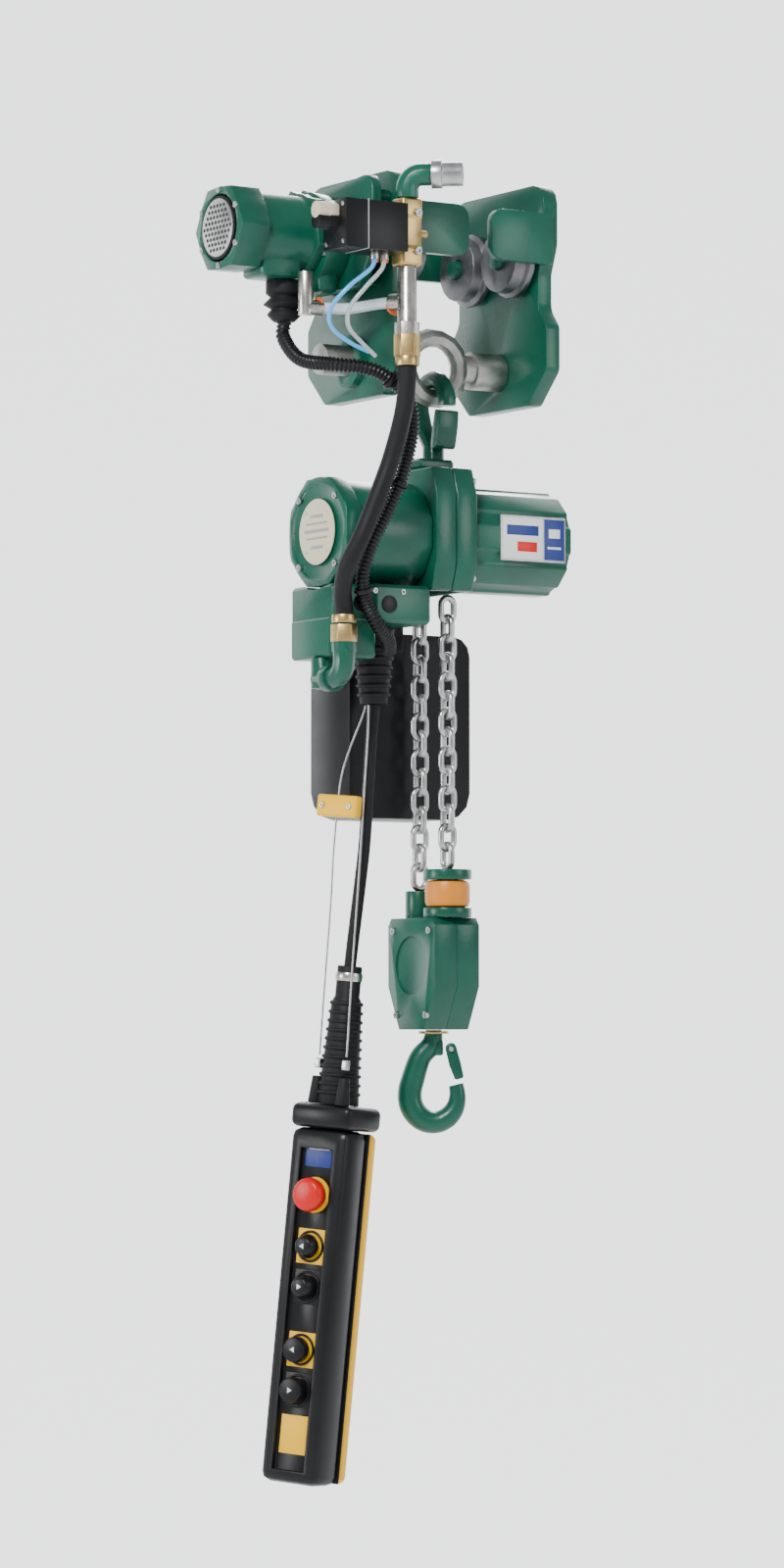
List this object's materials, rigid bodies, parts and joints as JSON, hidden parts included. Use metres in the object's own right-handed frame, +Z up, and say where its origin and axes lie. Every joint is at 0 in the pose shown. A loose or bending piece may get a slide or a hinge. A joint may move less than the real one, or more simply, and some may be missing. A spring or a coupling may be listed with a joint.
{
  "type": "chain hoist",
  "caption": "Air-powered two-fall chain hoist on a motor-driven beam trolley, with chain container, bottom block with safety hook and a hanging pendant control.",
  "frame": {"origin": "on the running surface of the beam flange, midway between the side plates and the wheels", "axes": "+Z up, X across the beam (drive motor towards -X), Y along the beam"},
  "size_m": [0.4206, 0.3002, 1.4274],
  "materials": {
    "green_enamel": "semi-gloss enamel on castings",
    "bright_steel": "bright zinc-plated steel",
    "dark_steel": "dark machined steel",
    "nickel": "nickel-plated brass fittings",
    "brass": "machined brass",
    "black_plastic": "moulded black plastic",
    "black_rubber": "black rubber",
    "milky_tube": "milky polymer tube",
    "amber_rubber": "amber polyurethane",
    "yellow_plastic": "moulded yellow plastic",
    "red_plastic": "red button plastic"
  },
  "bodies": {
    "trolley": {"side_plate_left": "green_enamel", "side_plate_right": "green_enamel", "load_bar": "bright_steel", "motor_bracket": "green_enamel", "drive_gear_housing": "green_enamel", "drive_motor_housing": "green_enamel", "motor_end_flange": "green_enamel", "main_valve_block": "brass", "valve_box": "black_plastic", "inlet_elbow": "green_enamel", "inlet_nipple": "bright_steel", "tee_fitting": "nickel", "cross_tube": "milky_tube", "swivel_elbow": "nickel", "drive_bellows": "black_rubber", "air_hose": "black_rubber", "control_conduit": "black_plastic"},
    "wheel_left_near": {"wheel_left_near": "dark_steel"},
    "wheel_left_far": {"wheel_left_far": "dark_steel"},
    "wheel_right_near": {"wheel_right_near": "dark_steel"},
    "wheel_right_far": {"wheel_right_far": "dark_steel"},
    "drive_pinion": {"drive_pinion": "bright_steel"},
    "hoist": {"top_hook": "green_enamel", "end_cover": "green_enamel", "motor_casing": "green_enamel", "middle_casting_left": "green_enamel", "middle_casting_right": "green_enamel", "gear_casing": "green_enamel", "control_valve_block": "green_enamel", "lower_inlet_elbow": "green_enamel", "chain_container": "black_plastic", "pendant_boot": "black_rubber", "chain_left_upper": "bright_steel", "chain_right_upper": "bright_steel"},
    "top_hook_latch": {"top_hook_latch": "green_enamel"},
    "chain_wheel": {"chain_wheel": "dark_steel"},
    "block": {"block_half_left": "green_enamel", "block_half_right": "green_enamel", "sheave_axle": "bright_steel", "chain_collar": "green_enamel", "buffer_rubber": "amber_rubber", "buffer_disc": "green_enamel", "chain_left_lower": "bright_steel", "chain_right_lower": "bright_steel"},
    "idler_sheave": {"idler_sheave": "dark_steel"},
    "hook": {"load_hook": "green_enamel"},
    "hook_latch": {"load_hook_latch": "green_enamel"},
    "pendant": {"pendant_hose": "black_rubber", "relief_wire_left": "bright_steel", "relief_wire_right": "bright_steel", "pendant_sleeve": "black_rubber", "pendant_cap": "black_plastic", "pendant_front": "black_plastic", "pendant_rear": "yellow_plastic", "hose_clamp": "yellow_plastic"},
    "stop_button": {"stop_button": "red_plastic"},
    "lift_button": {"lift_button": "black_plastic"},
    "lower_button": {"lower_button": "black_plastic"},
    "travel_left_button": {"travel_left_button": "black_plastic"},
    "travel_right_button": {"travel_right_button": "black_plastic"}
  },
  "joints": [
    {"name": "wheel_left_near_roll", "type": "hinge", "parent": "trolley", "child": "wheel_left_near", "pos_m": [-0.07, -0.042, 0.036], "axis": [1, 0, 0], "continuous": true},
    {"name": "wheel_left_far_roll", "type": "hinge", "parent": "trolley", "child": "wheel_left_far", "pos_m": [-0.07, 0.042, 0.036], "axis": [1, 0, 0], "continuous": true},
    {"name": "wheel_right_near_roll", "type": "hinge", "parent": "trolley", "child": "wheel_right_near", "pos_m": [0.07, -0.042, 0.036], "axis": [1, 0, 0], "continuous": true},
    {"name": "wheel_right_far_roll", "type": "hinge", "parent": "trolley", "child": "wheel_right_far", "pos_m": [0.07, 0.042, 0.036], "axis": [1, 0, 0], "continuous": true},
    {"name": "pinion_turn", "type": "hinge", "parent": "trolley", "child": "drive_pinion", "pos_m": [-0.078, 0, 0.06865], "axis": [1, 0, 0], "continuous": true},
    {"name": "hoist_swing", "type": "hinge", "parent": "trolley", "child": "hoist", "pos_m": [0, 0, -0.117], "axis": [1, 0, 0], "range_deg": [-8, 8], "deforming": ["air_hose", "control_conduit"]},
    {"name": "top_latch_open", "type": "hinge", "parent": "hoist", "child": "top_hook_latch", "pos_m": [0, -0.02, -0.1674], "axis": [-1, 0, 0], "range_deg": [0, 30], "stiffness_Nm_per_rad": 0.3},
    {"name": "lift", "type": "slide", "parent": "hoist", "child": "block", "axis": [0, 0, 1], "range_m": [0, 0.168], "deforming": ["chain_left_upper", "chain_left_lower", "chain_right_upper", "chain_right_lower"]},
    {"name": "chain_wheel_turn", "type": "hinge", "parent": "hoist", "child": "chain_wheel", "pos_m": [-0.0097, 0, -0.296], "axis": [1, 0, 0], "continuous": true},
    {"name": "sheave_turn", "type": "hinge", "parent": "block", "child": "idler_sheave", "pos_m": [0, 0, -0.742], "axis": [1, 0, 0], "continuous": true},
    {"name": "hook_swivel", "type": "hinge", "parent": "block", "child": "hook", "pos_m": [0, 0, -0.8124], "axis": [0, 0, 1], "continuous": true},
    {"name": "hook_latch_open", "type": "hinge", "parent": "hook", "child": "hook_latch", "pos_m": [0.01635, -0.01062, -0.8334], "axis": [0.5446, 0.8387, 0], "range_deg": [0, 30], "stiffness_Nm_per_rad": 0.3},
    {"name": "pendant_swing", "type": "hinge", "parent": "hoist", "child": "pendant", "pos_m": [-0.07, 0.012, -0.458], "axis": [0.8386, -0.5447, 0], "range_deg": [-5, 5]},
    {"name": "stop_button_press", "type": "slide", "parent": "pendant", "child": "stop_button", "axis": [0.9045, 0.4238, -0.048], "range_m": [0, 0.004]},
    {"name": "lift_button_press", "type": "slide", "parent": "pendant", "child": "lift_button", "axis": [0.9045, 0.4238, -0.048], "range_m": [0, 0.004], "stiffness_N_per_m": 500},
    {"name": "lower_button_press", "type": "slide", "parent": "pendant", "child": "lower_button", "axis": [0.9045, 0.4238, -0.048], "range_m": [0, 0.004], "stiffness_N_per_m": 500},
    {"name": "travel_left_button_press", "type": "slide", "parent": "pendant", "child": "travel_left_button", "axis": [0.9045, 0.4238, -0.048], "range_m": [0, 0.004], "stiffness_N_per_m": 500},
    {"name": "travel_right_button_press", "type": "slide", "parent": "pendant", "child": "travel_right_button", "axis": [0.9045, 0.4238, -0.048], "range_m": [0, 0.004], "stiffness_N_per_m": 500}
  ],
  "couplings": [
    {"joint": "wheel_left_near_roll", "follows": "wheel_left_far_roll", "ratio": 1},
    {"joint": "pinion_turn", "follows": "wheel_left_far_roll", "ratio": -2.8},
    {"joint": "chain_wheel_turn", "follows": "lift", "rad_per_m": -72.727},
    {"joint": "sheave_turn", "follows": "lift", "rad_per_m": -35.714}
  ]
}
